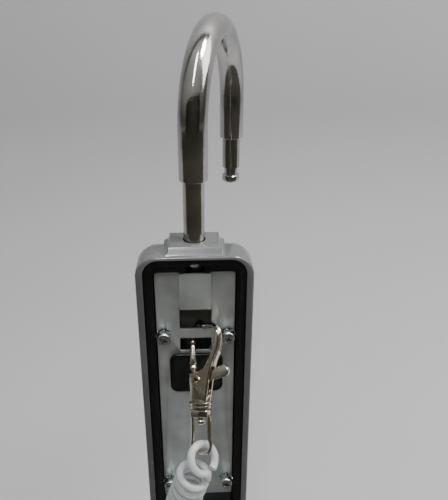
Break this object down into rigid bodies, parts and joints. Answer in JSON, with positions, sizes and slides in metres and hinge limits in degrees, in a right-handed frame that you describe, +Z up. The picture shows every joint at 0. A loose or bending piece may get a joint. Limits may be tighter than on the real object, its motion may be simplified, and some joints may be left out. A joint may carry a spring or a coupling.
{
  "type": "trailer coupler lock",
  "caption": "Long open-fronted housing on a U-shackle, with a zinc mounting plate, a button, and a tethered swivel snap hook round its bridge.",
  "frame": {"origin": "the inner underside of the shackle arch, at its middle", "axes": "+Z up along the legs, -Y out of the open front, +X to the right seen from the front"},
  "size_m": [0.0455, 0.1054, 0.2882],
  "materials": {
    "polished_chrome": "polished",
    "grey_enamel": "gloss",
    "black_rubber": "satin",
    "zinc_plate": "bright zinc plating",
    "screw_zinc": "bright zinc plating",
    "spring_steel": "satin",
    "nickel": "nickel plated",
    "black_plastic": "gloss",
    "clear_cord": "clear"
  },
  "bodies": {
    "shackle": {"shackle_rod": "polished_chrome", "shackle_sleeve": "polished_chrome", "retaining_ring": "spring_steel"},
    "swivel_washer": {"thrust_washer": "spring_steel"},
    "housing": {"housing": "grey_enamel", "leg_bushing": "spring_steel", "leg_wiper": "black_rubber", "gasket": "black_rubber", "mounting_plate": "zinc_plate", "bolt_guide": "zinc_plate", "lock_plate": "zinc_plate", "button_spring": "spring_steel", "plate_screw_upper_left": "screw_zinc", "spring_washer_upper_left": "screw_zinc", "flat_washer_upper_left": "screw_zinc", "plate_screw_upper_right": "screw_zinc", "spring_washer_upper_right": "screw_zinc", "flat_washer_upper_right": "screw_zinc", "plate_screw_lower_left": "screw_zinc", "spring_washer_lower_left": "screw_zinc", "flat_washer_lower_left": "screw_zinc", "plate_screw_lower_right": "screw_zinc", "spring_washer_lower_right": "screw_zinc", "flat_washer_lower_right": "screw_zinc"},
    "button": {"button_cap": "black_plastic", "button_carrier": "black_plastic"},
    "lock_bolt": {"lock_bolt": "spring_steel"},
    "snap_hook": {"hook_body": "nickel", "hook_rivet": "nickel", "swivel_pin": "nickel"},
    "gate": {"hook_gate": "nickel"},
    "bail": {"hook_bail": "nickel", "tether_loop": "clear_cord", "tether_coil": "clear_cord", "tether_end": "black_plastic"}
  },
  "joints": [
    {"name": "shackle_swivel", "type": "hinge", "parent": "shackle", "child": "swivel_washer", "pos_m": [-0.00896, -0.03004, -0.07725], "axis": [0, 0, 1], "continuous": true},
    {"name": "shackle_slide", "type": "slide", "parent": "swivel_washer", "child": "housing", "axis": [0, 0, 1], "range_m": [0, 0.02]},
    {"name": "button_press", "type": "slide", "parent": "housing", "child": "button", "axis": [0, 1, 0], "range_m": [0, 0.0014], "stiffness_N_per_m": 500, "springref_m": -0.0015, "deforming": ["button_spring"]},
    {"name": "bolt_slide", "type": "slide", "parent": "housing", "child": "lock_bolt", "axis": [-1, 0, 0], "range_m": [0, 0.0021]},
    {"name": "hook_swing", "type": "hinge", "parent": "housing", "child": "snap_hook", "pos_m": [-0.00896, -0.03614, -0.10295], "axis": [-1, 0, 0], "range_deg": [0, 18]},
    {"name": "gate_open", "type": "hinge", "parent": "snap_hook", "child": "gate", "pos_m": [-0.00785, -0.04729, -0.11943], "axis": [0.6428, 0.6634, -0.383], "range_deg": [0, 22], "stiffness_Nm_per_rad": 0.01, "springref_deg": -22.92},
    {"name": "bail_swivel", "type": "hinge", "parent": "snap_hook", "child": "bail", "pos_m": [-0.00762, -0.05346, -0.12972], "axis": [0, 0.5, 0.866], "continuous": true}
  ],
  "couplings": [
    {"joint": "bolt_slide", "follows": "button_press", "ratio": 1.5}
  ]
}
